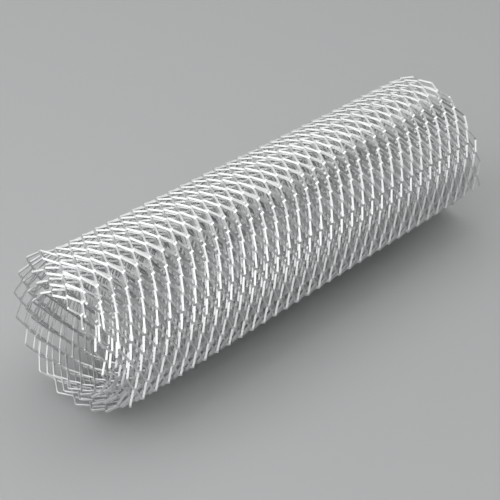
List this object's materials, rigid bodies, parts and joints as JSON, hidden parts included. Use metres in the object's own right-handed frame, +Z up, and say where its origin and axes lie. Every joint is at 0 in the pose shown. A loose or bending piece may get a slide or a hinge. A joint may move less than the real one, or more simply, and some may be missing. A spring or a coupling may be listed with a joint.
{
  "type": "rolled expanded aluminium mesh sheet",
  "caption": "Loose roll of raised expanded aluminium diamond mesh sheet, lying on its side, with an open bore and the turns showing on its ends.",
  "frame": {"origin": "on the floor, under the middle of the roll", "axes": "+X along the roll's axis, +Z up, the sheet's free outer edge low on the +Y side"},
  "size_m": [0.33, 0.1005, 0.0971],
  "materials": {
    "aluminium_mesh": "bright bare mill finish, satin on the twisted strands"
  },
  "bodies": {
    "root": {"mesh_roll": "aluminium_mesh"}
  },
  "joints": []
}
